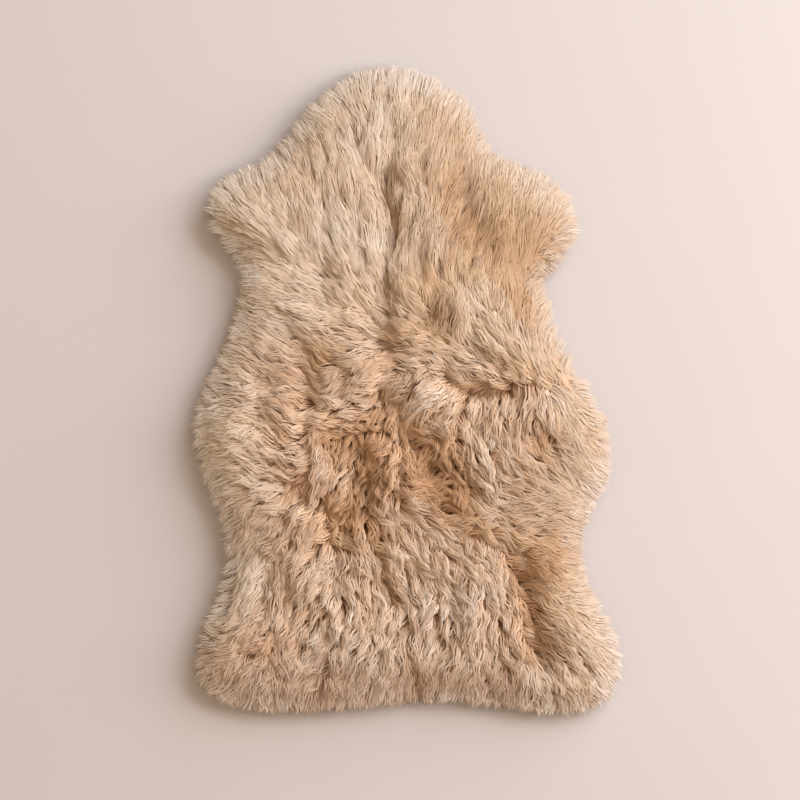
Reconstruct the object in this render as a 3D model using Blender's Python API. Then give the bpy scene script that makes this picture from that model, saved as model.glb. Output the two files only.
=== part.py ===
"""A single sheepskin rug, lying flat with its wool up: the tanned hide, and the fleece that grows on it.

Metres, +Z up. X runs across the pelt and Y from the rump to the neck. The origin is on the floor, under the
middle of the pelt. The fleece is a lumpy slab, higher over the back, with partings and hollows where the wool
lies open, and two rows of pointed locks hang round its rim.
"""

import math
import random
from collections import namedtuple

import bmesh
import bpy
import numpy as np
from mathutils import Vector, noise
from mathutils.geometry import delaunay_2d_cdt

MM = 0.001
SEED = 16

# How the flat triangles are made: only inside the outline, with points this near taken as one.
INSIDE_ONLY = 1
SAME_POINT = 1e-6

# The hide: a flat skin, cut back from the wool's edge.
HIDE_THICKNESS = 2.2 * MM
HIDE_INSET = 30 * MM
HIDE_POINTS = 110
HIDE_CLEARANCE = 0.3 * MM

# The fleece: its height over the back and at its rim, and how far in it takes to round up.
FLEECE_HEIGHT = 47 * MM
RIM_TOP = 22 * MM
RIM_MIDDLE = 11.5 * MM
RIM_RIPPLE = 1.6 * MM
RIM_RELIEF = 0.3
ROUNDING = 62 * MM
SPACING = 15.5 * MM
SPACING_JITTER = 0.24
RIM_MARGIN = 0.6 * SPACING
SMOOTH_ANGLE = math.radians(50)

# Lumps where the wool clumps, in three sizes laid over each other: their width, and their rise and fall.
Lump = namedtuple("Lump", "width rise layer")
LUMPS = (
    Lump(105 * MM, 6 * MM, 0.0),
    Lump(54 * MM, 8 * MM, 6.2),
    Lump(33 * MM, 5 * MM, 12.4),
)

# The locks round the rim, in two rows of LOCK_COLUMNS, the upper half a column on from the lower.
LOCK_COLUMNS = 146
COLUMN_UNEVENNESS = 0.38
ROW_SHIFT = 0.5
LOCK_REACH = 14.5 * MM
UNDERCUT = 6 * MM
SHOULDER_INSET = 5 * MM
LockRow = namedtuple("LockRow", "name reach spread drop lift root_gap middle_width")
LOCK_ROWS = (
    LockRow("lower", 16.5 * MM, 4.5 * MM, -5.0 * MM, 0.8 * MM, 0.7 * MM, 0.8),
    LockRow("upper", 14.5 * MM, 4.5 * MM, -3.0 * MM, 2.2 * MM, 0.7 * MM, 0.82),
)
LOCK_BEND = 0.52
LOCK_SWAY = math.radians(12)
LOCK_COMB = math.radians(26)
TIP_SPREAD = 2.5 * MM
CLUMP_LENGTH = 60 * MM
NECK_BASE_Y = 150 * MM
FLOOR_CLEARANCE = 0.6 * MM

# The outline of the wool, lock tips included, in millimetres, clockwise from the neck as seen from above.
RimPoint = namedtuple("RimPoint", "place x y")
OUTLINE = (
    RimPoint("neck_top", -27, 450),
    RimPoint("neck_right", 33, 437),
    RimPoint("neck_right_corner", 74, 412),
    RimPoint("neck_right_side", 101, 371),
    RimPoint("neck_right_notch", 119, 330),
    RimPoint("right_foreleg_top", 152, 316),
    RimPoint("right_foreleg_upper", 194, 299),
    RimPoint("right_foreleg_corner", 226, 270),
    RimPoint("right_foreleg_end", 239, 235),
    RimPoint("right_foreleg_lower", 232, 201),
    RimPoint("right_foreleg_base", 211, 174),
    RimPoint("right_waist_notch", 189, 152),
    RimPoint("right_rib_upper", 200, 118),
    RimPoint("right_rib", 213, 73),
    RimPoint("right_flank_upper", 240, 30),
    RimPoint("right_flank", 262, -12),
    RimPoint("right_flank_wide", 283, -58),
    RimPoint("right_flank_lower", 281, -118),
    RimPoint("right_loin", 255, -171),
    RimPoint("right_loin_waist", 243, -213),
    RimPoint("right_loin_lower", 249, -260),
    RimPoint("right_haunch", 271, -299),
    RimPoint("right_haunch_side", 291, -340),
    RimPoint("right_haunch_corner", 297, -385),
    RimPoint("right_rump_corner", 287, -424),
    RimPoint("right_rump", 252, -446),
    RimPoint("right_rump_low", 193, -450),
    RimPoint("tail_right", 125, -440),
    RimPoint("tail", 22, -433),
    RimPoint("tail_left", -76, -443),
    RimPoint("left_rump_low", -164, -448),
    RimPoint("left_rump", -238, -441),
    RimPoint("left_rump_corner", -282, -419),
    RimPoint("left_haunch_corner", -297, -376),
    RimPoint("left_haunch", -286, -331),
    RimPoint("left_loin_lower", -264, -283),
    RimPoint("left_loin_waist", -253, -232),
    RimPoint("left_loin", -261, -181),
    RimPoint("left_flank_lower", -281, -125),
    RimPoint("left_flank_wide", -296, -74),
    RimPoint("left_flank", -295, -26),
    RimPoint("left_flank_upper", -277, 18),
    RimPoint("left_rib", -254, 63),
    RimPoint("left_rib_upper", -239, 111),
    RimPoint("left_waist_notch", -231, 154),
    RimPoint("left_foreleg_base", -243, 183),
    RimPoint("left_foreleg_lower", -268, 212),
    RimPoint("left_foreleg_end", -281, 246),
    RimPoint("left_foreleg_corner", -272, 280),
    RimPoint("left_foreleg_upper", -243, 302),
    RimPoint("left_foreleg_top", -202, 319),
    RimPoint("neck_left_notch", -170, 350),
    RimPoint("neck_left_side", -142, 388),
    RimPoint("neck_left_corner", -112, 417),
    RimPoint("neck_left", -74, 439),
)
CURVE_STEPS = 12
OUTLINE_STEPS = 1300

# Partings, hollows and swells in the wool, in millimetres: a soft trough or ridge along a line, this wide to
# either side of it, and this deep where the depth is positive.
Fold = namedtuple("Fold", "name x0 y0 x1 y1 half_width depth")
FOLDS = (
    Fold("neck_parting", -28, 428, -27, 296, 14, 7),
    Fold("spine_pit", -30, 292, -26, 256, 17, 12),
    Fold("spine_parting", -24, 256, -26, 200, 14, 9),
    Fold("back_parting", -29, 200, -32, 60, 15, 9),
    Fold("back_parting_end", -32, 60, -22, -4, 20, 6),
    Fold("spine_side_crease", -62, 316, -38, 296, 10, 6),
    Fold("right_neck_crease", 58, 336, 103, 208, 17, 10),
    Fold("left_neck_hollow", -168, 334, -150, 318, 26, 8),
    Fold("left_foreleg_hollow", -231, 178, -196, 180, 22, 7),
    Fold("right_foreleg_crease", 158, 190, 192, 176, 20, 9),
    Fold("left_shoulder_pit", -116, 176, -102, 176, 17, 6),
    Fold("rib_hollow", 33, 112, 37, 74, 19, 10),
    Fold("rib_crease", 88, 56, 130, 34, 13, 7),
    Fold("left_rib_hollow", -146, 54, -124, 22, 20, 10),
    Fold("left_rib_crease", -132, 20, -134, -14, 14, 7),
    Fold("flank_parting", 62, 12, 118, -6, 15, 13),
    Fold("flank_parting_end", 118, -6, 190, 8, 14, 9),
    Fold("saddle_hollow_left", -84, -52, -70, -140, 30, 9),
    Fold("saddle_pit_left", -98, -184, -82, -210, 19, 10),
    Fold("saddle_hollow_middle", -38, -30, -30, -52, 22, 6),
    Fold("saddle_hollow_right", 2, -42, 46, -150, 33, 9),
    Fold("saddle_pit_right", 88, -128, 90, -142, 17, 8),
    Fold("right_flank_pit", 190, -74, 198, -90, 22, 8),
    Fold("left_flank_crease", -172, -134, -146, -142, 20, 6),
    Fold("haunch_parting_top", 140, -216, 158, -262, 17, 9),
    Fold("haunch_parting", 158, -262, 178, -350, 21, 14),
    Fold("haunch_parting_foot", 178, -350, 188, -382, 18, 10),
    Fold("rump_pit", -24, -262, -24, -276, 16, 7),
    Fold("tail_hollow", 19, -396, 19, -420, 22, 8),
    Fold("right_tail_hollow", 120, -406, 128, -418, 20, 6),
    Fold("left_shoulder_swell", -206, 250, -150, 300, 46, -5),
    Fold("right_shoulder_swell", 150, 250, 206, 236, 42, -5),
    Fold("withers_swell", 22, 208, 52, 190, 26, -5),
    Fold("spine_ridge", -46, 240, -44, 176, 13, -4),
    Fold("right_back_swell", 60, 96, 130, 100, 36, -6),
    Fold("left_back_ridge", -112, -24, -48, 32, 15, -7),
    Fold("saddle_tuft", 20, -8, 32, -14, 20, -9),
    Fold("saddle_ridge", -24, -70, -22, -134, 12, -6),
    Fold("left_flank_swell", -236, -60, -170, -70, 54, -6),
    Fold("left_loin_swell", -156, -178, -136, -180, 26, -6),
    Fold("left_rump_swell", -128, -272, -96, -300, 42, -5),
    Fold("right_rump_swell", 88, -262, 90, -336, 22, -7),
)

WOOL_COLOUR = (0.58, 0.39, 0.265, 1.0)
HIDE_COLOUR = (0.74, 0.64, 0.51, 1.0)


def clear_scene():
    for thing in list(bpy.data.objects):
        bpy.data.objects.remove(thing)


def closed_curve(points, steps):
    """A smooth closed line through the points, as a Catmull-Rom spline."""
    before, after, beyond = (np.roll(points, shift, axis=0) for shift in (1, -1, -2))
    spans = []
    for t in np.arange(steps) / steps:
        spans.append(
            0.5 * (
                2 * points
                + (after - before) * t
                + (2 * before - 5 * points + 4 * after - beyond) * t**2
                + (3 * points - before - 3 * after + beyond) * t**3
            )
        )
    return np.stack(spans, axis=1).reshape(-1, 2)


def evenly_spaced(line, count):
    """count points at even steps round a closed line."""
    loop = np.vstack([line, line[:1]])
    along = np.concatenate([[0], np.cumsum(np.linalg.norm(np.diff(loop, axis=0), axis=1))])
    at = np.arange(count) / count * along[-1]
    return np.stack([np.interp(at, along, loop[:, axis]) for axis in (0, 1)], axis=1)


def at_shares(line, shares):
    """Points at these shares of the way round a closed line whose own points are evenly spaced."""
    loop = np.vstack([line, line[:1]])
    places = np.arange(len(loop)) / len(line)
    return np.stack([np.interp(shares % 1.0, places, loop[:, axis]) for axis in (0, 1)], axis=1)


def outward(ring):
    """The unit directions that point out of a clockwise ring."""
    tangent = np.roll(ring, -1, axis=0) - np.roll(ring, 1, axis=0)
    normal = np.stack([-tangent[:, 1], tangent[:, 0]], axis=1)
    return normal / np.linalg.norm(normal, axis=1, keepdims=True)


def inset(ring, distance):
    return ring - outward(ring) * distance


def distance_to_segment(point, start, end):
    along = end - start
    share = np.clip(np.dot(point - start, along) / np.dot(along, along), 0, 1)
    return float(np.linalg.norm(point - start - along * share))


def distance_to_ring(point, ring):
    along = np.roll(ring, -1, axis=0) - ring
    share = ((point - ring) * along).sum(axis=1) / (along * along).sum(axis=1)
    nearest = ring + along * np.clip(share, 0, 1)[:, None]
    return float(np.linalg.norm(point - nearest, axis=1).min())


def is_inside(point, ring):
    x, y = point
    x0, y0 = ring.T
    x1, y1 = np.roll(ring, -1, axis=0).T
    spans = (y0 > y) != (y1 > y)
    crossing_x = x0[spans] + (y - y0[spans]) / (y1[spans] - y0[spans]) * (x1[spans] - x0[spans])
    return int((crossing_x > x).sum()) % 2 == 1


def fold_depth(point):
    """How far the partings and hollows lower the wool at a point."""
    depth = 0.0
    for fold in FOLDS:
        start = np.array([fold.x0, fold.y0]) * MM
        end = np.array([fold.x1, fold.y1]) * MM
        away = distance_to_segment(point, start, end) / (fold.half_width * MM)
        depth += fold.depth * MM * math.exp(-(away**2))
    return depth


def lump_height(point):
    """How far the clumps raise or lower the wool at a point. A rise and its dip are one width across."""
    height = 0.0
    for lump in LUMPS:
        cell = lump.width / 2
        height += lump.rise * noise.noise(Vector((point[0] / cell, point[1] / cell, lump.layer)))
    return height


def wool_height(point, rim):
    """The height of the wool over a point: rounded up from the rim, with lumps and folds that fade there."""
    share = min(distance_to_ring(point, rim) / ROUNDING, 1.0)
    crown = math.sqrt(1 - (1 - share) ** 2)
    relief = lump_height(point) - fold_depth(point)
    return RIM_TOP + (FLEECE_HEIGHT - RIM_TOP) * crown + relief * max(crown, RIM_RELIEF)


def inner_points(rim, dice):
    """A hexagonal net of points inside the rim, each moved a little so that no rows show."""
    low, high = rim.min(axis=0), rim.max(axis=0)
    row_step = SPACING * math.sqrt(3) / 2
    rows = int((high[1] - low[1]) / row_step) + 1
    columns = int((high[0] - low[0]) / SPACING) + 2
    found = []
    for row in range(rows):
        for column in range(columns):
            spot = np.array([low[0] + (column + row % 2 / 2) * SPACING, low[1] + row * row_step])
            spot += np.array([dice.uniform(-1, 1), dice.uniform(-1, 1)]) * SPACING * SPACING_JITTER
            if is_inside(spot, rim) and distance_to_ring(spot, rim) > RIM_MARGIN:
                found.append(spot)
    return found


def triangles_inside(points, ring_count):
    """Delaunay triangles, as indices, inside the ring that the first ring_count points form."""
    flat = [Vector(point) for point in points]
    made = delaunay_2d_cdt(flat, [], [list(range(ring_count))], INSIDE_ONLY, SAME_POINT)
    places, faces = made[0], made[2]
    if len(places) != len(points):
        raise ValueError("the outline crosses itself")
    return faces


def add_cap(mesh, corners, triangles, face_up):
    """Faces on these corners, turned to point up or down."""
    for triangle in triangles:
        face = mesh.faces.new([corners[index] for index in triangle])
        face.normal_update()
        if (face.normal.z > 0) != face_up:
            face.normal_flip()


def add_ring(mesh, ring, heights):
    return [mesh.verts.new((*point, height)) for point, height in zip(ring, heights)]


def add_wall(mesh, lower, upper):
    """Quads between two clockwise rings, facing out, in the rings' order."""
    count = len(lower)
    faces = []
    for index in range(count):
        after = (index + 1) % count
        faces.append(mesh.faces.new((lower[after], lower[index], upper[index], upper[after])))
    return faces


def column_joints(dice):
    """Where the columns of locks meet, as shares of the way round, each column as wide as chance has it."""
    widths = [1 + dice.uniform(-1, 1) * COLUMN_UNEVENNESS for _ in range(LOCK_COLUMNS)]
    return np.concatenate([[0.0], np.cumsum(widths)]) / sum(widths)


def shifted(joints, columns):
    """The joints of the columns, each moved on by this many columns."""
    beyond = np.concatenate([joints, 1 + joints[1:3]])
    return np.interp(np.arange(LOCK_COLUMNS) + columns, np.arange(len(beyond)), beyond)


def comb_angle(direction, place, dice):
    """How far a lock turns from straight out: up beside the neck, down elsewhere, and in clumps that lean."""
    wanted = 1.0 if place.y > NECK_BASE_Y else -1.0
    side = 1.0 if direction.x > 0 else -1.0
    clump = noise.noise(place / CLUMP_LENGTH)
    return wanted * side * LOCK_COMB * abs(direction.x) + LOCK_SWAY * (clump + dice.uniform(-1, 1))


def grow_lock(mesh, root_face, direction, row, dice):
    """One pointed lock on a face of the rim: a narrow shoulder left at its root, a bend, and its tip."""
    bmesh.ops.inset_individual(mesh, faces=[root_face], thickness=row.root_gap, use_even_offset=True)
    root_centre = root_face.calc_center_median()
    turn = comb_angle(direction, root_centre, dice)
    heading = Vector((
        direction.x * math.cos(turn) - direction.y * math.sin(turn),
        direction.x * math.sin(turn) + direction.y * math.cos(turn),
        0,
    ))
    reach = row.reach + dice.uniform(-row.spread, row.spread)
    drop = row.drop + dice.uniform(-TIP_SPREAD, TIP_SPREAD)
    bend = root_centre + heading * reach * LOCK_BEND + Vector((0, 0, row.lift))
    tip = root_centre + heading * reach + Vector((0, 0, drop))

    made = bmesh.ops.extrude_discrete_faces(mesh, faces=[root_face])
    end_face = made["faces"][0]
    for corner in end_face.verts:
        corner.co = bend + (corner.co - root_centre) * row.middle_width
        corner.co.z = max(corner.co.z, FLOOR_CLEARANCE)
    made = bmesh.ops.extrude_discrete_faces(mesh, faces=[end_face])
    end_face = made["faces"][0]
    tip.z = max(tip.z, FLOOR_CLEARANCE)
    bmesh.ops.pointmerge(mesh, verts=list(end_face.verts), merge_co=tip)


def finished_object(name, mesh, material):
    data = bpy.data.meshes.new(name)
    mesh.to_mesh(data)
    mesh.free()
    data.materials.append(material)
    made = bpy.data.objects.new(name, data)
    bpy.context.scene.collection.objects.link(made)
    return made


def make_material(name, colour, roughness, sheen):
    material = bpy.data.materials.new(name)
    material.use_nodes = True
    shader = material.node_tree.nodes["Principled BSDF"]
    shader.inputs["Base Color"].default_value = colour
    shader.inputs["Roughness"].default_value = roughness
    shader.inputs["Metallic"].default_value = 0.0
    shader.inputs["Sheen Weight"].default_value = sheen
    return material


def make_hide(outline):
    """The tanned skin: a thin flat sheet that the wool hides from above."""
    ring = evenly_spaced(inset(outline, HIDE_INSET), HIDE_POINTS)
    mesh = bmesh.new()
    bottom = add_ring(mesh, ring, [0.0] * HIDE_POINTS)
    top = add_ring(mesh, ring, [HIDE_THICKNESS] * HIDE_POINTS)
    triangles = triangles_inside(ring, len(ring))
    add_wall(mesh, bottom, top)
    add_cap(mesh, bottom, triangles, face_up=False)
    add_cap(mesh, top, triangles, face_up=True)
    return finished_object("hide", mesh, make_material("tanned_hide", HIDE_COLOUR, roughness=0.85, sheen=0.1))


def make_fleece(outline):
    """The wool: a lumpy slab over the hide, with its two rows of locks round the rim."""
    dice = random.Random(SEED)
    joints = column_joints(dice)
    row_joints = [shifted(joints, shift) for shift in (0.0, ROW_SHIFT, 2 * ROW_SHIFT)]
    under = at_shares(inset(outline, LOCK_REACH + UNDERCUT), row_joints[0])
    widest = at_shares(inset(outline, LOCK_REACH), row_joints[1])
    rim = at_shares(inset(outline, LOCK_REACH + SHOULDER_INSET), row_joints[2])
    middle_heights = [RIM_MIDDLE + dice.uniform(-RIM_RIPPLE, RIM_RIPPLE) for _ in widest]
    spots = np.vstack([rim, inner_points(rim, dice)])

    mesh = bmesh.new()
    bottom = add_ring(mesh, under, [HIDE_THICKNESS + HIDE_CLEARANCE] * LOCK_COLUMNS)
    middle = add_ring(mesh, widest, middle_heights)
    surface = add_ring(mesh, spots, [wool_height(spot, rim) for spot in spots])
    root_rows = (add_wall(mesh, bottom, middle), add_wall(mesh, middle, surface[:LOCK_COLUMNS]))
    add_cap(mesh, bottom, triangles_inside(under, LOCK_COLUMNS), face_up=False)
    add_cap(mesh, surface, triangles_inside(spots, LOCK_COLUMNS), face_up=True)
    mesh.normal_update()
    for row, roots in zip(LOCK_ROWS, root_rows):
        for root_face in roots:
            direction = Vector((*root_face.normal.xy, 0)).normalized()
            grow_lock(mesh, root_face, direction, row, dice)
    made = finished_object("fleece", mesh, make_material("wool", WOOL_COLOUR, roughness=0.9, sheen=0.6))
    made.data.shade_smooth()
    made.data.set_sharp_from_angle(angle=SMOOTH_ANGLE)
    return made


def centre_on_origin(fleece, hide):
    """Moves both meshes so that the pelt's box is centred on the origin."""
    corners = np.array([corner.co for corner in fleece.data.vertices])
    middle = (corners.min(axis=0) + corners.max(axis=0)) / 2
    for thing in (fleece, hide):
        for corner in thing.data.vertices:
            corner.co.x -= middle[0]
            corner.co.y -= middle[1]


def main():
    clear_scene()
    corners = np.array([(point.x, point.y) for point in OUTLINE]) * MM
    outline = evenly_spaced(closed_curve(corners, CURVE_STEPS), OUTLINE_STEPS)
    centre_on_origin(make_fleece(outline), make_hide(outline))


main()
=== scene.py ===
"""A sheepskin rug that lies flat with its wool up: the tanned hide, the dense undercoat and the combed wool.

Metres, +Z up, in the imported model's frame: X runs across the pelt and Y from the rump to the neck. The wool
is some thousands of locks. Each starts inside the pile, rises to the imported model's surface, lies the way it
is combed at its place, and holds a dozen or so tapered wisps.
"""

import math
from collections import namedtuple

import bpy
import numpy as np
from bpy.props import FloatProperty, FloatVectorProperty, IntProperty, PointerProperty
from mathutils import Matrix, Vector, noise
from mathutils.bvhtree import BVHTree


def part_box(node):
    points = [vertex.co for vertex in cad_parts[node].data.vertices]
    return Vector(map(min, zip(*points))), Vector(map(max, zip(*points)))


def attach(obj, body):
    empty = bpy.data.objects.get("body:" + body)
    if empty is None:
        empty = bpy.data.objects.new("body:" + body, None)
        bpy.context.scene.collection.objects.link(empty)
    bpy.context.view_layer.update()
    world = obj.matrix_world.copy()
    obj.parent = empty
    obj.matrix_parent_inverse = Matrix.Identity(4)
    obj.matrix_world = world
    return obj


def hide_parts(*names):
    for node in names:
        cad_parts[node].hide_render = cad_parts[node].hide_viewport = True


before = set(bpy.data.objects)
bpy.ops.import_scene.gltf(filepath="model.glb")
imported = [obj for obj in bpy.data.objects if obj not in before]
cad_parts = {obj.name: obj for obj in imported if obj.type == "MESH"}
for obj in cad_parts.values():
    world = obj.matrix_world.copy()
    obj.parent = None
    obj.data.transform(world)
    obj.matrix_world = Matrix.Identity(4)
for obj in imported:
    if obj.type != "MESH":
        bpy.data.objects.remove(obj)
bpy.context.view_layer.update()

bl_info = {
    "name": "Sheepskin rug",
    "version": (1, 0, 0),
    "blender": (4, 5, 0),
    "location": "View3D > Sidebar > Rug",
    "description": "Dresses the packed rug with its hide, its undercoat and its combed wool, in a studio",
    "category": "Object",
}

MM = 0.001
SEED = 41

# The skin is cut from a blank this much larger, gridded by this many cuts, with a die this much taller, and
# creased in waves this wide. The undercoat starts this far above it.
BLANK_SHARE = 1.04
BLANK_CUTS = (60, 92)
DIE_SHARE = 20
CREASE_WIDTH = 45 * MM
HIDE_GAP = 0.3 * MM

# The grid that the pelt's fields are kept on.
GRID_STEP = 3 * MM
GRID_MARGIN = 30 * MM
SMOOTHING_ROUNDS = 2

# How far past the hide's edge the slab's height is read, the wool comes to the floor and its tips end.
SLAB_EDGE = 8 * MM
DROOP_REACH = 35 * MM
WOOL_REACH = 32 * MM

# The least heights above the floor: of a lock's middle line, of one at the rim and of a wisp's.
PATH_GAP = 2.1 * MM
RIM_PATH_GAP = 1.4 * MM
WISP_GAP = 1.2 * MM

# How the comb's strokes blend into a field, and where the rim's own outward way comes in.
STROKE_SOFTNESS = 5 * MM
STROKE_POWER = 3.0
RIM_WAY_SHARE = 0.55
RIM_WAY_FROM = -10 * MM
RIM_WAY_FADE = 25 * MM

# How ruffled the wool is, as shares: most on the back, less towards the neck and less by the rim. A calm
# patch takes off this share at most.
RUFFLE_FROM_REAR = ((-40 * MM, 150 * MM), (1.0, 0.38))
RUFFLE_FROM_EDGE = ((-60 * MM, -10 * MM), (1.0, 0.4))
CALMEST = -0.75

# The undercoat: how much of the fleece's width and length it fills, how far under the wool's surface it lies,
# with more where the wool is ruffled, and its tufts.
UNDERCOAT_SHARE = (0.965, 0.975, 1.0)
UNDERCOAT_VOXEL = 10 * MM
UNDERCOAT_DEPTH = 2.5 * MM
UNDERCOAT_SINKING = 16.5 * MM
TUFT_WIDTH = 11 * MM
TUFT_HEIGHT = 5 * MM

# The locks' roots stand on a net, each moved by up to this share of its spacing. Past the hide's edge, those
# of the rim start, and all end, this far out.
NET_JITTER = 0.36
RIM_ROOTS_START = 2 * MM
ROOTS_END = 13 * MM

# Where the combed ways part faster than this, each metre, shorter and steeper locks fill the parting.
PARTING_SPREAD = 19.0
PARTING_LENGTH = 0.55
PARTING_SPACING = 9.4 * MM
SPREAD_ROUNDS = 4

# The locks bend to and fro once in each of these lengths, and take their colour at this share of their way.
# Past this share of curl, this share of a length ahead of their roots, they are the short curled wool.
WAVE_LENGTH = 36 * MM
SEEN_SHARE = 0.7
CURLY = 0.38
CURL_AHEAD = 0.4
CURLED_SPACING = 9.4 * MM
CURLED_LENGTH = 0.72

# A lock is cut at the wool's reach in some rounds, each to no less than this share of its length. A way out
# that is shorter than the last counts as that.
REACH_ROUNDS = 3
SHORTEST = 0.25
LEAST_WAY_OUT = 0.1 * MM

# Half of a lock's width: of a plain one as a share of the spacing, of a curled one and of one at the rim.
LOCK_HALF_SHARE = 0.57
CURLED_HALF_WIDTH = 4.6 * MM
RIM_HALF_WIDTH = 6.2 * MM

# One lock's middle line: the points on it, and its height along it, as shares of its depth, crest and tip.
PATH_POINTS = 9
LIFT_SHARES = (0.0, 0.25, 0.5, 0.75, 1.0)
LIFT_OF_DEPTH = (-1.0, -0.34, 0.0, 0.0, -0.1)
LIFT_OF_CREST = (0.0, 0.3, 0.85, 1.0, 0.1)
LIFT_OF_TIP = (0.0, 0.0, 0.05, 0.4, 1.0)

# One wisp: where its rings and its tip are along it, how wide it is at its rings, and how many there are in a
# lock and how broad they are, as shares of the settings' own.
Form = namedtuple("Form", "shares widths wisps breadth")
PLAIN = Form((0.0, 0.36, 0.7, 1.0), (0.8, 1.0, 0.75), 1.15, 1.1)
WAVY = Form((0.0, 0.28, 0.53, 0.78, 1.0), (0.8, 1.0, 0.95, 0.65), 0.84, 1.3)
CURLED = Form((0.0, 0.22, 0.42, 0.62, 0.82, 1.0), (0.7, 0.95, 1.0, 0.85, 0.55), 0.77, 1.05)
RIM = Form(PLAIN.shares, (0.8, 0.95, 0.55), 0.77, 0.95)
WISP_FLATNESS = 0.6
CORNERS = 3

# A lock is a rounded bundle. The wisps at its sides are shorter, lie lower, in millimetres, and lean over,
# and all draw together to its tip. They start unevenly, and this share of that is gone at their tips.
SIDE_SHORTENING = 0.18
SIDE_SAG = 2.4
LOCK_LEAN = 0.5
TIP_GATHERING = 0.55
GATHERING_POWER = 2.5
EVENING = 0.8

# A wisp's map: strips from the cream wool to the golden one, each with a margin. A side of a wisp is this
# wide on it and its root this high, and the cap under the root starts at a share of that.
WARMTHS = 6
TONE_MARGIN = 0.03
SIDE_UV_WIDTH = 0.0025
ROOT_V = 0.03
CAP_SHARE = 0.2

# How the light meets a wisp: how far its normals lean to its sides, the share of them that points straight
# up, and the share of the rest that does where the wool is calm.
SIDE_LEAN = 0.3
UP_SHARE = 0.5
CALM_UP_SHARE = 0.7

# What is left in the calmest wool of a stray turn or shade, a drift of tone, a root's depth, a bundle's
# roundness and a normal's lean.
CALM_STRAY = 0.4
CALM_DRIFT = 0.5
CALM_DEPTH = 0.2
CALM_ROUNDNESS = 0.15
CALM_LEAN = 0.3

# Slow waves of noise over the pelt: how strong and how wide each is, and its own layer of the noise.
RIPPLES = {
    "clumps": (0.4, 34 * MM, 1.5), "broad clumps": (0.3, 80 * MM, 7.5), "crests": (3.4, 26 * MM, 3.5),
    "curl's turn": (0.8, 22 * MM, 11.5), "curl": (1.7, 26 * MM, 13.5), "wave's phase": (3.5, 40 * MM, 15.5),
    "tone": (0.2, 30 * MM, 5.5), "fine tone": (0.1, 13 * MM, 17.5), "warmth": (0.2, 50 * MM, 9.5),
}

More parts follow.
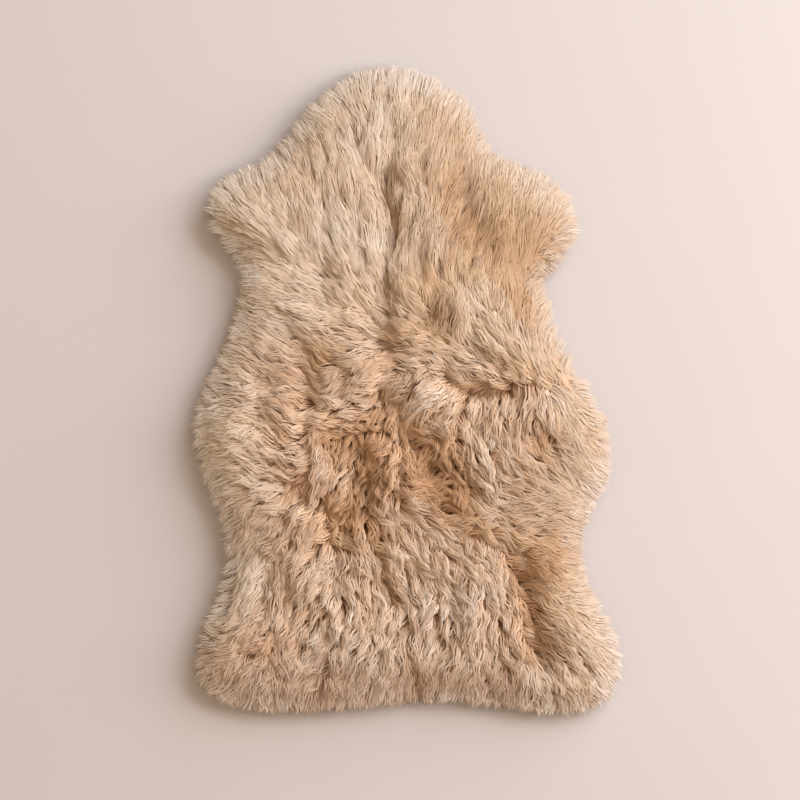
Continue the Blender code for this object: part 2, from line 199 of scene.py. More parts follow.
# How the wool is combed: strokes from a lock's root to its tip, as x0, y0, x1 and y1 in millimetres.
COMBING = {
    "neck, left": (
        (-29, 308, -32, 440), (-42, 336, -67, 430), (-71, 315, -106, 367), (-81, 367, -110, 414),
        (-108, 322, -147, 372), (-147, 297, -178, 350), (-111, 246, -131, 297), (-67, 225, -86, 281),
        (-39, 232, -52, 274),
    ),
    "neck, right": (
        (-11, 308, -12, 433), (17, 274, -6, 315), (7, 336, 7, 436), (-1, 406, 12, 444), (22, 343, 39, 426),
        (42, 350, 64, 417), (65, 322, 72, 392), (83, 308, 96, 378), (58, 281, 78, 336),
        (104, 294, 108, 343), (126, 287, 126, 322),
    ),
    "shoulder, left": (
        (-181, 250, -206, 303), (-224, 246, -256, 281), (-242, 232, -279, 250), (-200, 228, -231, 247),
        (-224, 207, -270, 222), (-200, 189, -261, 203), (-161, 204, -200, 228), (-133, 204, -158, 246),
        (-117, 172, -131, 225), (-81, 172, -106, 211), (-46, 167, -72, 212), (-29, 163, -39, 211),
        (-140, 153, -200, 175), (-136, 172, -168, 197), (-200, 156, -238, 167),
    ),
    "shoulder, right": (
        (146, 267, 147, 315), (156, 260, 179, 308), (179, 246, 207, 294), (207, 232, 235, 260),
        (200, 211, 242, 228), (197, 190, 235, 197), (179, 181, 203, 163), (165, 181, 175, 246),
        (142, 183, 147, 253), (106, 232, 108, 288), (68, 204, 92, 260), (96, 181, 117, 232),
        (26, 183, 36, 274), (7, 190, 7, 267), (-15, 183, -17, 267), (50, 246, 56, 315),
    ),
    "ribs, left": (
        (-106, 135, -147, 167), (-71, 128, -106, 172), (-43, 128, -71, 169), (-26, 128, -36, 167),
        (-106, 103, -168, 128), (-168, 121, -231, 142), (-50, 111, -92, 142), (-15, 93, -57, 117),
        (-57, 93, -126, 106), (-147, 86, -217, 107), (-200, 65, -238, 93), (-85, 69, -161, 86),
        (-8, 69, -71, 78), (-106, 50, -154, 75), (-175, 42, -244, 65), (-8, 58, -78, 56),
        (-119, 28, -175, 56), (-168, 10, -231, 33), (-242, 28, -279, 47), (-8, 47, -99, 0),
        (-15, 28, -92, -22), (-11, 10, -32, -28),
    ),
    "ribs, right": (
        (-8, 144, -25, 194), (26, 142, 12, 181), (89, 128, 81, 181), (126, 128, 133, 181),
        (161, 128, 172, 167), (12, 128, -15, 156), (68, 111, 42, 153), (46, 83, 47, 125),
        (8, 103, -29, 121), (19, 75, -22, 86), (130, 75, 89, 125), (75, 72, 64, 121), (147, 86, 142, 131),
        (172, 86, 179, 133), (197, 65, 183, 107), (217, 19, 193, 65), (165, 38, 138, 79), (61, 56, -1, 65),
        (138, 24, 75, 56), (100, 17, 47, 44), (193, 10, 158, 44), (47, 33, 3, 44),
    ),
    "flank, left": (
        (-106, -11, -161, -8), (-147, -4, -200, 17), (-182, -4, -247, 0), (-242, 6, -279, 17),
        (-196, -25, -265, -39), (-147, -46, -200, -28), (-147, -74, -206, -46), (-200, -60, -272, -60),
        (-140, -101, -210, -83), (-206, -94, -256, -92), (-265, -53, -293, -69), (-256, -88, -286, -119),
        (-147, -119, -238, -120), (-238, -122, -270, -147), (-161, -131, -231, -150),
        (-147, -161, -196, -172), (-200, -150, -240, -190), (-238, -171, -258, -212),
        (-200, -178, -222, -233), (-147, -150, -165, -190), (-161, -185, -190, -211),
        (-119, -157, -142, -206),
    ),
    "flank, right": (
        (58, 10, 8, -39), (26, 28, -8, -4), (86, 0, 61, -46), (117, -6, 106, -67), (151, -4, 151, -74),
        (183, -4, 190, -67), (204, -4, 235, -46), (231, 10, 265, -20), (214, -39, 242, -74),
        (249, -39, 283, -60), (75, -46, 82, -94), (104, -67, 119, -115), (131, -67, 147, -97),
        (131, -85, 190, -113), (172, -67, 186, -88), (214, -83, 256, -119), (249, -81, 286, -115),
        (96, -101, 131, -150), (138, -119, 214, -133), (221, -115, 263, -157), (103, -150, 172, -167),
        (179, -153, 228, -157), (214, -164, 256, -192),
    ),
    "saddle": (
        (-29, -4, -22, -67), (-11, -25, -8, -88), (-85, -28, -117, -50), (-43, -46, -99, -56),
        (-122, -67, -125, -122), (-103, -74, -85, -115), (-71, -67, -75, -136), (-47, -67, -50, -136),
        (-22, -74, -43, -115), (-15, -108, -18, -157), (-106, -136, -112, -185), (-75, -136, -89, -171),
        (-50, -150, -61, -206), (-103, -189, -64, -222), (-64, -206, -22, -222), (3, -60, 47, -58),
        (47, -67, 30, -122), (8, -135, 58, -118), (68, -108, 78, -150), (12, -150, 68, -157),
    ),
    "loin, left": (
        (-113, -206, -154, -231), (-168, -219, -182, -303), (-200, -233, -224, -289),
        (-233, -233, -265, -289), (-119, -240, -150, -275), (-106, -275, -140, -310),
        (-89, -219, -89, -275), (-50, -226, -53, -289),
    ),
    "loin, right": (
        (-15, -157, 47, -178), (-22, -171, 12, -206), (26, -178, 89, -181), (103, -178, 158, -206),
        (165, -185, 235, -194), (47, -199, 96, -233), (8, -206, 42, -247), (30, -233, 64, -276),
        (-15, -219, -8, -261), (-8, -254, 12, -289), (82, -206, 96, -275), (123, -212, 145, -282),
        (147, -219, 193, -250), (172, -226, 235, -236), (179, -254, 249, -286), (151, -261, 193, -303),
    ),
    "rump, left": (
        (-81, -296, -117, -351), (-147, -289, -170, -358), (-200, -303, -222, -339),
        (-200, -315, -265, -338), (-200, -344, -265, -375), (-265, -344, -290, -378),
        (-200, -361, -245, -410), (-265, -389, -285, -425), (-165, -365, -168, -428),
        (-217, -379, -235, -437), (-104, -358, -140, -410), (-131, -407, -145, -442),
        (-47, -303, -85, -372), (-36, -358, -64, -428), (-11, -303, -15, -428), (-85, -400, -85, -444),
    ),
    "rump, right": (
        (103, -282, 100, -358), (144, -289, 147, -358), (47, -289, 44, -372), (19, -296, 17, -400),
        (186, -306, 256, -358), (228, -289, 276, -314), (256, -317, 290, -344), (175, -331, 203, -379),
        (214, -351, 269, -414), (256, -372, 290, -414), (82, -358, 61, -428), (124, -358, 114, -428),
        (26, -386, 12, -435), (160, -372, 165, -435), (207, -386, 228, -442), (242, -414, 262, -444),
    ),
}

# Where the wool parts in a fold or a pit: a line, and how deep it sinks, in millimetres.
FOLDS = {
    "neck": (
        (-25, 333, -19, 303, 5), (-26, 297, -28, 258, 14), (-61, 318, -44, 293, 9), (-17, 304, 1, 281, 6),
        (-178, 336, -167, 314, 4),
    ),
    "shoulders": (
        (-18, 258, -15, 203, 10), (-28, 172, -28, 139, 12), (-110, 182, -104, 167, 8),
        (-242, 240, -238, 231, 6), (-25, 128, -25, 100, 6),
    ),
    "ribs": (
        (-44, 93, -21, 86, 7), (-40, 61, -24, 56, 11), (21, 81, 36, 115, 11), (158, 122, 158, 78, 8),
        (135, 94, 147, 74, 6), (25, 42, 49, 36, 6), (18, 8, 35, 21, 9), (54, 19, 76, 0, 13),
        (108, 53, 129, 26, 6), (-142, 32, -131, -10, 10), (-100, 43, -85, 25, 5), (-38, 8, -29, -26, 12),
    ),
    "flank, right": (
        (81, -6, 133, -4, 14), (144, 4, 150, -10, 9), (172, 32, 174, 7, 9), (199, -65, 208, -89, 7),
    ),
    "flank, left": (
        (-140, -50, -138, -83, 8), (-140, -146, -135, -167, 8), (-176, -178, -151, -185, 7),
        (-192, -121, -165, -124, 5), (-179, -150, -147, -143, 5), (-275, -50, -264, -58, 4),
    ),
    "saddle": (
        (-11, -26, -7, -150, 13), (-1, -24, 5, -40, 4), (-56, -58, -56, -96, 8), (-51, -114, -50, -179, 12),
        (-110, -147, -106, -214, 14), (-106, -178, -75, -171, 10), (-104, -214, -75, -221, 12),
        (42, -58, 51, -75, 8), (68, -50, 71, -76, 8), (88, -128, 101, -138, 11),
    ),
    "loin": (
        (-51, -211, -28, -235, 12), (-29, -257, -14, -290, 12), (92, -196, 132, -221, 8),
        (136, -219, 154, -226, 8), (-158, -246, -167, -292, 9), (-194, -253, -188, -269, 6),
    ),
    "rump": (
        (157, -253, 178, -289, 8), (164, -289, 182, -326, 13), (178, -356, 194, -382, 13),
        (-86, -293, -76, -283, 7), (-60, -307, -42, -300, 6), (15, -314, 24, -346, 7),
        (42, -336, 56, -353, 11), (64, -336, 69, -354, 7), (100, -314, 103, -332, 6),
        (-149, -393, -69, -393, 11), (11, -378, 17, -424, 12), (115, -414, 128, -422, 9),
    ),
}
FOLD_WIDTH = 5 * MM

# By a fold the wool is darkened as painted shade, this far out and by this share. Calm wool is paler at its
# roots, with less of the roots' darkening, which is partly the wool's own browner roots and partly painted
# shade deep in the pile. The rim's wool is paler and cooler from this far past the hide's edge, painted as
# light that shines through its thin tips.
FOLD_SHADE_WIDTH = 8 * MM
DEEPEST_FOLD = 14 * MM
FOLD_SHADE = 0.6
CALM_PALING = 1.15
LEAST_DARKENING = 0.15
RIM_GLOW_FROM = 6 * MM
RIM_GLOW_FADE = 24 * MM
RIM_GLOW_PALING = 0.12
RIM_GLOW_COOLING = 0.45

# The wool's plain tone, from dark to pale, and warmth, from cream to golden.
TONE = 0.545
WARMTH = 0.48

# Where the wool is paler or browner, and warmer or cooler, than the rest, and how curly it is or, with a
# minus, how calm. Places and radii are in millimetres.
Patch = namedtuple("Patch", "x y radius tone warmth curl", defaults=(0, 0))
PATCHES = {
    "neck": (
        (-71, 350, 81, 0.2, -0.05), (-30, 390, 70, 0.2, -0.15), (60, 340, 70, -0.15, 0.25),
        (-28, 278, 15, -0.25, 0.35), (66, 296, 32, -0.4, 0.15), (12, 272, 26, 0.4, -0.1),
    ),
    "shoulders": (
        # The row at (-228, 220) is painted light: it pales the left shoulder, which lies further from the
        # lights.
        (-228, 220, 62, 0.68, -0.1), (-133, 149, 81, 0.18, -0.05), (-106, 236, 42, 0.2, -0.15),
        (-43, 222, 31, 0.3, -0.2), (31, 217, 31, 0.15, -0.15), (84, 234, 34, -0.4, 0.3),
        (182, 222, 45, -0.25, 0.3, -0.5), (160, 230, 85, -0.12, 0.25), (131, 246, 19, 0, 0.3),
        # The row at (-244, 248) is painted light on the left shoulder's edge, which lies further from the
        # lights.
        (33, 169, 25, 0, 0.25), (-20, 230, 240, 0, 0.12), (-244, 248, 32, 0.28), (-28, 200, 22, 0.45),
        (130, 184, 34, -0.22, 0.15),
    ),
    "ribs": (
        (92, 142, 33, 0.2, -0.2), (60, 150, 80, -0.04, 0.2), (36, 93, 23, 0.15, 0.5, 0.2),
        (-25, 86, 19, -0.15, 0.35, 0.1), (131, 111, 19, 0.15, -0.1), (205, 110, 45, 0.05, 0.3, -0.5),
        (151, 28, 31, -0.05, 0.4, 0.2), (75, 8, 14, -0.25, 0.4, 0.2), (26, -14, 22, 0.35, -0.3, 0.1),
        (-57, 65, 28, 0.12, -0.15), (89, 80, 24, 0.5), (168, 142, 30, -0.38, 0.5),
        (-122, 51, 22, -0.22, 0.5, 0.1), (-42, 30, 22, -0.5, 0.1), (-139, 0, 15, -0.2, 0.3, 0.1),
        (-113, -14, 15, 0.15, -0.2, 0.1), (-180, 28, 45, -0.3, 0.05), (-175, 128, 42, 0.08, -0.05),
    ),
    "saddle": (
        (-67, -78, 33, -0.75, 0.8, 0.9), (-47, -129, 30, -0.7, 0.8, 0.9), (-89, -178, 27, -0.7, 0.8, 0.8),
        (-43, -46, 24, -0.45, 0.63, 0.6), (-36, -206, 19, -0.35, 0.5, 0.5), (-112, -66, 26, -0.5, 0.4, 0.6),
        (-18, -81, 11, 0.3, -0.3, 0.4), (-15, -119, 11, 0.3, -0.3, 0.4), (13, -67, 25, -0.4, 0.69, 0.7),
        (40, -108, 35, -0.65, 0.8, 0.8), (68, -150, 30, -0.6, 0.8, 0.7), (100, -185, 20, -0.3, 0.5, 0.3),
        (110, -136, 14, 0.4, -0.2, 0.3), (112, -82, 20, 0.3, -0.1), (9, -26, 16, 0.5, -0.2),
    ),
    "flanks": (
        (-150, -132, 28, -0.45, 0.35, 0.2), (-131, -171, 19, 0.05, -0.15, 0.2),
        # The rows at (-275, -80) and, on the last line, (-250, -280) are painted light: they pale the left
        # rim, in shade away from the lights.
        (-200, -131, 15, 0.12, -0.1), (-275, -80, 60, 0.4, 0, -0.4), (200, -32, 18, 0.15, -0.15),
        (188, -82, 26, -0.3, 0.35), (268, -60, 50, -0.04, 0.2, -0.6), (245, 40, 45, -0.1, 0.3, -0.6),
        (225, -190, 45, -0.15, 0.3, -0.6), (165, -208, 22, -0.12, 0.35), (216, -238, 38, -0.4, 0.5),
        (-250, -280, 48, 0.75),
    ),
    "rump": (
        (-231, -348, 66, -0.22), (0, -350, 90, 0.16, -0.1), (-108, -296, 42, 0.3, -0.15),
        (-15, -261, 14, -0.2, 0.25), (89, -296, 33, 0.15, -0.25), (168, -258, 24, -0.35, 0.6, 0.2),
        (179, -300, 28, -0.65, 0.5, 0.2), (184, -360, 25, -0.6, 0.25), (255, -300, 50, -0.1, 0.3, -0.6),
        (179, -406, 13, 0.25, -0.2), (50, -340, 36, 0.3, -0.15), (-106, -362, 33, 0.3, -0.15),
        # From (12, -412) on, the rows are painted shade along the bottom edge, away from the lights: darker,
        # and most of them cooler.
        (-185, -358, 38, -0.2, 0.1, 0.1), (12, -412, 32, -0.75, 0.1), (-110, -420, 50, -0.55, -0.1, 0.1),
        (120, -425, 50, -0.45, -0.15), (-200, -435, 40, -0.1, -0.3), (-40, -445, 60, -0.3, -0.3),
    ),
}

# The pieces that the combed wool is made in, from the neck down, each with its lowest y and its wisps' form.
BANDS = (
    ("neck_wool", 0.255, PLAIN),
    ("shoulder_wool", 0.120, PLAIN),
    ("rib_wool", 0.005, WAVY),
    ("saddle_wool", -0.095, WAVY),
    ("loin_wool", -0.205, WAVY),
    ("haunch_wool", -0.325, WAVY),
    ("rump_wool", -1.0, WAVY),
)

# The rows of locks that hang round the rim, from the lowest, in millimetres: the height of their roots, the
# height of their tips, and how far past the hide's edge they reach.
RIM_ROWS = ((4, 1.8, 32), (9, 4.5, 36), (14, 8.5, 36))
RIM_SPACING = 11.2 * MM
RIM_SHORTEST = 10 * MM
RIM_HUMP = 2 * MM

# The studio. Each light has its place, its width and its colour, and its power is a setting.
NEAR_LIGHT = ((3.8, 0.7, 1.5), 2.4, (0.86, 0.84, 0.88))
FAR_LIGHT = ((4.4, 5.4, 2.9), 5.0, (0.75, 0.86, 1.0))
AIR_COLOUR = (1.0, 0.79, 0.61, 1.0)
FLOOR_SIZE = 8.0
CAMERA_X, CAMERA_Y = -8.3 * MM, -11.1 * MM


def measure(name, description, default):
    """A setting for a length."""
    return FloatProperty(name=name, description=description, default=default, min=0.0, unit="LENGTH")


def dye(name, description, *default):
    """A setting for a colour."""
    return FloatVectorProperty(name=name, description=description, default=default, subtype="COLOR")


class HideSettings(bpy.types.PropertyGroup):
    """The tanned skin."""

    thickness: measure("Thickness", "How thick the tanned skin is", 1.5 * MM)
    crease: measure("Crease", "How far the skin lifts in its creases", 0.6 * MM)
    colour: dye("Colour", "The flesh side of the skin", 0.70, 0.60, 0.47)
    stain: dye("Stain", "The skin where it is darker", 0.52, 0.40, 0.28)


class WoolSettings(bpy.types.PropertyGroup):
    """The undercoat and the combed wool."""

    spacing: measure("Lock spacing", "How far one lock grows from the next", 13 * MM)
    length: measure("Lock length", "How long a lock lies", 57 * MM)
    depth: measure("Root depth", "How far under the surface a lock starts", 15 * MM)
    wisps: IntProperty(name="Wisps", description="How many wisps one lock holds", default=13, min=1)
    width: measure("Wisp width", "How wide a wisp is at its widest", 1.5 * MM)
    # The undercoat is darker than the wool above it: partly its own browner wool, partly painted shade deep in
    # the pile.
    undercoat: dye("Undercoat", "The wool deep in the pile", 0.52, 0.30, 0.17)
    # The root colour is partly the wool's own browner roots and partly painted shade deep in the pile.
    root: dye("Root", "A wisp at its root", 0.64, 0.38, 0.21)
    cool_dark: dye("Cool, dark", "The darkest of the cream wool", 0.57, 0.40, 0.29)
    cool_light: dye("Cool, light", "The palest of the cream wool", 0.81, 0.72, 0.615)
    warm_dark: dye("Warm, dark", "The darkest of the golden wool", 0.465, 0.245, 0.115)
    warm_light: dye("Warm, light", "The palest of the golden wool", 0.80, 0.60, 0.385)


class StudioSettings(bpy.types.PropertyGroup):
    """The floor, the lights and the camera."""

    lens: FloatProperty(name="Lens", description="The camera's focal length, in millimetres", default=85)
    height: measure("Camera height", "How far above the floor the camera is", 2.63)
    floor: dye("Floor", "The floor's colour", 0.605, 0.55, 0.515)
    near: FloatProperty(name="Near light", description="The light on the right", default=244, unit="POWER")
    far: FloatProperty(name="Far light", description="The wide light, above right", default=622, unit="POWER")
    fill: FloatProperty(name="Fill", description="How strong the light from all round is", default=0.59)


class Wire:
    """A shader socket that Python's arithmetic works on: each operation adds its Math node."""

    def __init__(self, look, socket):
        self.look = look
        self.socket = socket

    def math(self, operation, *values):
        return self.look.add("Math", {"operation": operation}, dict(enumerate(values)))

    def __add__(self, other):
        return self.math("ADD", self, other)

    def __sub__(self, other):
        return self.math("SUBTRACT", self, other)

    def __rsub__(self, other):
        return self.math("SUBTRACT", other, self)

    def __mul__(self, other):
        return self.math("MULTIPLY", self, other)

    __radd__ = __add__
    __rmul__ = __mul__


class Look:
    """A material while it is made."""

    def __init__(self, name):
        self.material = bpy.data.materials.new(name)
        self.material.use_nodes = True
        self.tree = self.material.node_tree
        self.shader = self.tree.nodes["Principled BSDF"]

    def add(self, kind, settings=None, inputs=None, output=0):
        """Adds a shader node, makes its settings, feeds its sockets values or wires and returns an output."""
        node = self.tree.nodes.new("ShaderNode" + kind)
        for name, value in (settings or {}).items():
            if name == "stops":
                self.set_stops(node.color_ramp, value)
            else:
                setattr(node, name, value)
        for name, value in (inputs or {}).items():
            self.feed(node.inputs[name], value)
        return Wire(self, node.outputs[output])

    def feed(self, socket, value):
        if isinstance(value, Wire):
            self.tree.links.new(value.socket, socket)
        else:
            socket.default_value = value

    @staticmethod
    def set_stops(ramp, stops):
        """Gives a ramp its stops: pairs of a place and a grey."""
        while len(ramp.elements) < len(stops):
            ramp.elements.new(1.0)
        for element, (place, grey) in zip(ramp.elements, stops):
            element.position = place
            element.color = (grey, grey, grey, 1.0)

    def noise(self, place, scale, detail, **more):
        """A noise texture, read at a place, with any more of its sockets' values."""
        inputs = {"Vector": place, "Scale": scale, "Detail": detail}
        inputs.update((name.title(), value) for name, value in more.items())
        return self.add("TexNoise", None, inputs)

    def curve(self, value, *stops):
        """A number read from another by a ramp of greys."""
        return self.add("ValToRGB", {"stops": stops}, {"Fac": value})

    def mix(self, share, first, second):
        """A colour between two, each a wire or a colour of three numbers."""
        colours = [value if isinstance(value, Wire) else (*value, 1.0) for value in (first, second)]
        inputs = {0: share, 6: colours[0], 7: colours[1]}
        return self.add("Mix", {"data_type": "RGBA"}, inputs, output=2)

    def set(self, **values):
        """Sets the shader's sockets, named with underscores."""
        for name, value in values.items():
            self.feed(self.shader.inputs[name.replace("_", " ").title().replace("Ior", "IOR")], value)

    def bump(self, height, strength, distance):
        inputs = {"Strength": strength, "Distance": distance, "Height": height}
        self.set(normal=self.add("Bump", None, inputs))


def skin_look(settings):
    """Suede: a fine nap over soft stains and mottles."""
    look = Look("tanned_skin")
    place = look.add("TexCoord", output="Object")
    stains = look.noise(place, 9.0, 6.0, roughness=0.6)
    mottles = look.noise(place, 38.0, 4.0)
    nap = look.noise(place, 900.0, 3.0)
    grain = look.noise(place, 210.0, 4.0)
    paler = [min(1.0, part * 1.16) for part in settings.colour]
    colour = look.mix(look.curve(stains, (0.38, 0.0), (0.66, 1.0)), settings.colour, settings.stain)
    colour = look.mix(look.curve(nap, (0.42, 0.0), (0.72, 0.55)), colour, paler)
    colour = look.mix(look.curve(mottles, (0.4, 0.0), (0.62, 0.3)), colour, settings.stain)
    look.set(base_color=colour, roughness=0.82 + grain * 0.14, sheen_weight=0.25, sheen_roughness=0.5)
    look.bump(grain * 0.6 + nap * 0.4, 0.45, 0.5 * MM)
    return look.material


def undercoat_look(settings):
    """The matted wool deep in the pile: dark, paler towards the neck, with fibres that run every way."""
    look = Look("undercoat_wool")
    place = look.add("TexCoord", output="Object")
    tufts = look.noise(place, 70.0, 5.0)
    fibres = look.noise(place, 420.0, 4.0, distortion=1.6)
    to_neck = look.add("SeparateXYZ", None, {"Vector": place}, "Y")
    # Darker than the wool, partly as painted shade deep in the pile, and paler towards the neck.
    dark = [part * 0.6 for part in settings.undercoat]
    colour = look.mix(look.curve(tufts, (0.35, 0.0), (0.65, 1.0)), dark, settings.undercoat)
    colour = look.mix(look.curve(to_neck * 5.0, (0.0, 0.0), (0.8, 0.8)), colour, settings.warm_light)
    colour = look.mix(look.curve(fibres, (0.45, 0.0), (0.7, 0.5)), colour, settings.root)
    look.set(base_color=colour, roughness=0.9 + fibres * 0.08, sheen_weight=0.2)
    look.bump(fibres, 0.6, 1.5 * MM)
    return look.material


def wool_look(settings):
    """One wisp's finish, read from its own map: across it the wool's tone, along it the way from root to tip.

    The map is in strips, from the cream wool on its left to the golden one, each from dark to pale.
    """
    look = Look("combed_wool")
    strand = look.add("UVMap", {"uv_map": "strand"})
    across, along = (look.add("SeparateXYZ", None, {"Vector": strand}, axis) for axis in "XY")
    strip = across.math("FLOOR", across * WARMTHS)
    tone = across * WARMTHS - strip
    warmth = strip * (1 / (WARMTHS - 1))
    cream = look.mix(tone, settings.cool_dark, settings.cool_light)
    gold = look.mix(tone, settings.warm_dark, settings.warm_light)
    frost_and_highlight = look.mix(warmth, settings.cool_light, settings.warm_light)
    # From the root the colour rises out of the root colour: partly the wool's own browner roots, partly
    # painted shade deep in the pile.
    rise = look.curve(along, (0.0, 0.0), (0.45, 0.5), (0.85, 1.0))
    colour = look.mix(rise, settings.root, look.mix(warmth, cream, gold))
    # By their tips the wisps pale to the palest wool: partly their own paler tips, partly a painted highlight.
    colour = look.mix(look.curve(along, (0.8, 0.0), (1.0, 0.3)), colour, frost_and_highlight)

    fibre_place = look.add("CombineXYZ", None, {"X": across * 900.0, "Y": along * 3.0})
    fibres = look.noise(fibre_place, 1.0, 2.0)
    colour = look.mix(look.curve(fibres, (0.35, 0.22), (0.6, 0.0)), colour, settings.root)
    look.set(base_color=colour, roughness=0.62 + fibres * 0.2, specular_ior_level=0.2)
    look.set(sheen_weight=0.4, sheen_roughness=0.5, sheen_tint=(1.0, 0.93, 0.85, 1.0))
    look.bump(fibres, 0.12, 0.3 * MM)
    return look.material


def floor_look(settings):
    look = Look("studio_floor")
    grain = look.noise(look.add("TexCoord", output="Object"), 6.0, 3.0)
    deeper = [part * 0.97 for part in settings.floor]
    look.set(base_color=look.mix(grain, deeper, settings.floor), roughness=0.9)
    return look.material


def smooth(share):
    """An eased share, level at both of its ends."""
    share = np.clip(share, 0, 1)
    return share * share * (3 - 2 * share)


def kept(ruffle, calm_share):
    """How much of something the wool keeps: all where it is ruffled, and this share where it is calm."""
    return calm_share + (1 - calm_share) * ruffle


def unit(vectors):
    """The vectors made one long, with a length of nothing left as it is."""
    return vectors / np.maximum(np.linalg.norm(vectors, axis=-1, keepdims=True), 1e-9)


def turned(ways, angles):
    """Flat directions turned anticlockwise."""
    x, y = ways[..., 0], ways[..., 1]
    cos, sin = np.cos(angles), np.sin(angles)
    return np.stack([x * cos - y * sin, x * sin + y * cos], axis=-1)


def rows_of(table):
    """The rows of all of a table's parts."""
    return [row for rows in table.values() for row in rows]


def ends(line):
    """A table line's start and end, in metres."""
    return np.array(line[:2]) * MM, np.array(line[2:4]) * MM


def from_segment(points, start, end):
    """How far points are from a flat line."""
    along = end - start
    share = np.clip(((points - start) @ along) / (along @ along), 0, 1)
    return np.linalg.norm(points - start - share[..., None] * along, axis=-1)


def smoothed(field, rounds):
    """A field on the grid, each place averaged with its neighbours in some rounds."""
    for _ in range(rounds):
        field = sum(np.roll(field, shift, axis) for shift in (-1, 0, 1) for axis in (0, 1)) / 6
    return field


def around(field):
    """The sum of a field over each place and the eight round it."""
    padded = np.pad(field, 1)
    columns, rows = field.shape
    return sum(padded[x : x + columns, y : y + rows] for x in range(3) for y in range(3))


def rim_edges(node):
    """The edges round the foot of a flat node's wall, in no order."""
    corners = [corner.co for corner in node.data.vertices]
    low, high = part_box(node.name)
    middle = (low[2] + high[2]) / 2
    edges = []
    for face in node.data.polygons:
        foot = [np.array(corners[index].xy) for index in face.vertices if corners[index].z < middle]
        if abs(face.normal.z) < 0.5 and len(foot) == 2:
            edges.append(foot)
    return edges


class Pelt:
    """The wool's height, its distance past the hide's edge and its combed way, each on one flat grid."""

    def __init__(self):
        low, high = (np.array(corner[:2]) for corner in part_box("fleece"))
        self.low = low - GRID_MARGIN
        self.counts = np.ceil((high + GRID_MARGIN - self.low) / GRID_STEP).astype(int) + 1
        cells = np.stack(np.meshgrid(*map(np.arange, self.counts), indexing="ij"), axis=-1)
        self.grid = self.low + cells * GRID_STEP
        self.beyond = self.distance_beyond(rim_edges(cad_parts["hide"]))
        self.outward = unit(np.stack(np.gradient(self.beyond), axis=-1))
        droop = np.sqrt(1 - np.clip(self.beyond / DROOP_REACH, 0, 1) ** 2)
        self.top = self.heights(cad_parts["fleece"]) * droop - self.folded(FOLD_WIDTH)
        # Painted shade: how much darker the wool is painted near each fold, from nothing to 1.
        self.fold_shade = self.folded(FOLD_SHADE_WIDTH) / DEEPEST_FOLD
        self.ruffle = np.interp(self.grid[..., 1], *RUFFLE_FROM_REAR)
        self.ruffle *= np.interp(self.beyond, *RUFFLE_FROM_EDGE)
        self.ruffle *= 1 + np.clip(patch_sum(self.grid, "curl"), CALMEST, 0)
        self.comb = self.combed()
        self.spread = self.spreading()

    def distance_beyond(self, edges):
        """How far each place is past the hide's edge: less than nothing over the hide."""
        x, y = self.grid[..., 0], self.grid[..., 1]
        away = np.full(x.shape, np.inf)
        crossings = np.zeros(x.shape, int)
        for start, end in edges:
            away = np.minimum(away, from_segment(self.grid, start, end))
            spans = (start[1] > y) != (end[1] > y)
            slope = (end[0] - start[0]) / (end[1] - start[1]) if end[1] != start[1] else 0.0
            crossings += spans & (x < start[0] + (y - start[1]) * slope)
        return np.where(crossings % 2 == 1, -away, away)

    def heights(self, node):
        """The top of a node over each place within the slab's edge, and the same carried on out past it."""
        corners = [corner.co for corner in node.data.vertices]
        tree = BVHTree.FromPolygons(corners, [tuple(face.vertices) for face in node.data.polygons])
        above, down = 1.0, Vector((0, 0, -1))
        known = self.beyond < SLAB_EDGE
        top = np.zeros(known.shape)
        for cell in zip(*np.nonzero(known)):
            hit = tree.ray_cast(Vector((*self.grid[cell], above)), down)[0]
            top[cell] = hit.z if hit else 0.0
            known[cell] = hit is not None
        while not known.all():
            count = around(known.astype(float))
            found = ~known & (count > 0)
            top = np.where(found, around(top * known) / np.maximum(count, 1), top)
            known |= found
        return smoothed(top, SMOOTHING_ROUNDS)

    def folded(self, width):
        """How deep the folds are at each place, when each is this wide."""
        sunk = np.zeros(self.beyond.shape)
        for *line, depth in rows_of(FOLDS):
            away = from_segment(self.grid, *ends(line))
            sunk = np.maximum(sunk, depth * MM * np.exp(-((away / width) ** 2)))
        return sunk

    def combed(self):
        """The way the wool is combed at each place: the strokes near it, and straight out past the edge."""
        total = np.zeros(self.grid.shape)
        for stroke in rows_of(COMBING):
            start, end = ends(stroke)
            away = from_segment(self.grid, start, end)
            weight = (away**2 + STROKE_SOFTNESS**2) ** (-STROKE_POWER / 2)
            total += weight[..., None] * unit(end - start)
        share = RIM_WAY_SHARE * smooth((self.beyond - RIM_WAY_FROM) / RIM_WAY_FADE)[..., None]
        return unit(unit(total) * (1 - share) + self.outward * share)

    def spreading(self):
        """How fast the combed ways part at each place: above nothing at a parting."""
        across = np.gradient(self.comb[..., 0], GRID_STEP, axis=0)
        up = np.gradient(self.comb[..., 1], GRID_STEP, axis=1)
        return smoothed(across + up, SPREAD_ROUNDS)

    def read(self, field, points):
        """A field's values at points, read between the grid's own places."""
        place = (points - self.low) / GRID_STEP
        cell = np.clip(place.astype(int), 0, self.counts - 2)
        share = np.clip(place - cell, 0, 1)
        column, row = cell[..., 0], cell[..., 1]
        across, up = share[..., 0], share[..., 1]
        if field.ndim == 3:
            across, up = across[..., None], up[..., None]
        lower = field[column, row] * (1 - across) + field[column + 1, row] * across
        upper = field[column, row + 1] * (1 - across) + field[column + 1, row + 1] * across
        return lower * (1 - up) + upper * up

    def way(self, points):
        return unit(self.read(self.comb, points))


def ripple(points, name):
    """Slow random waves over the pelt, one of those in the table."""
    strength, width, layer = RIPPLES[name]
    return strength * np.array([noise.noise(Vector((*(point / width), layer))) for point in points])


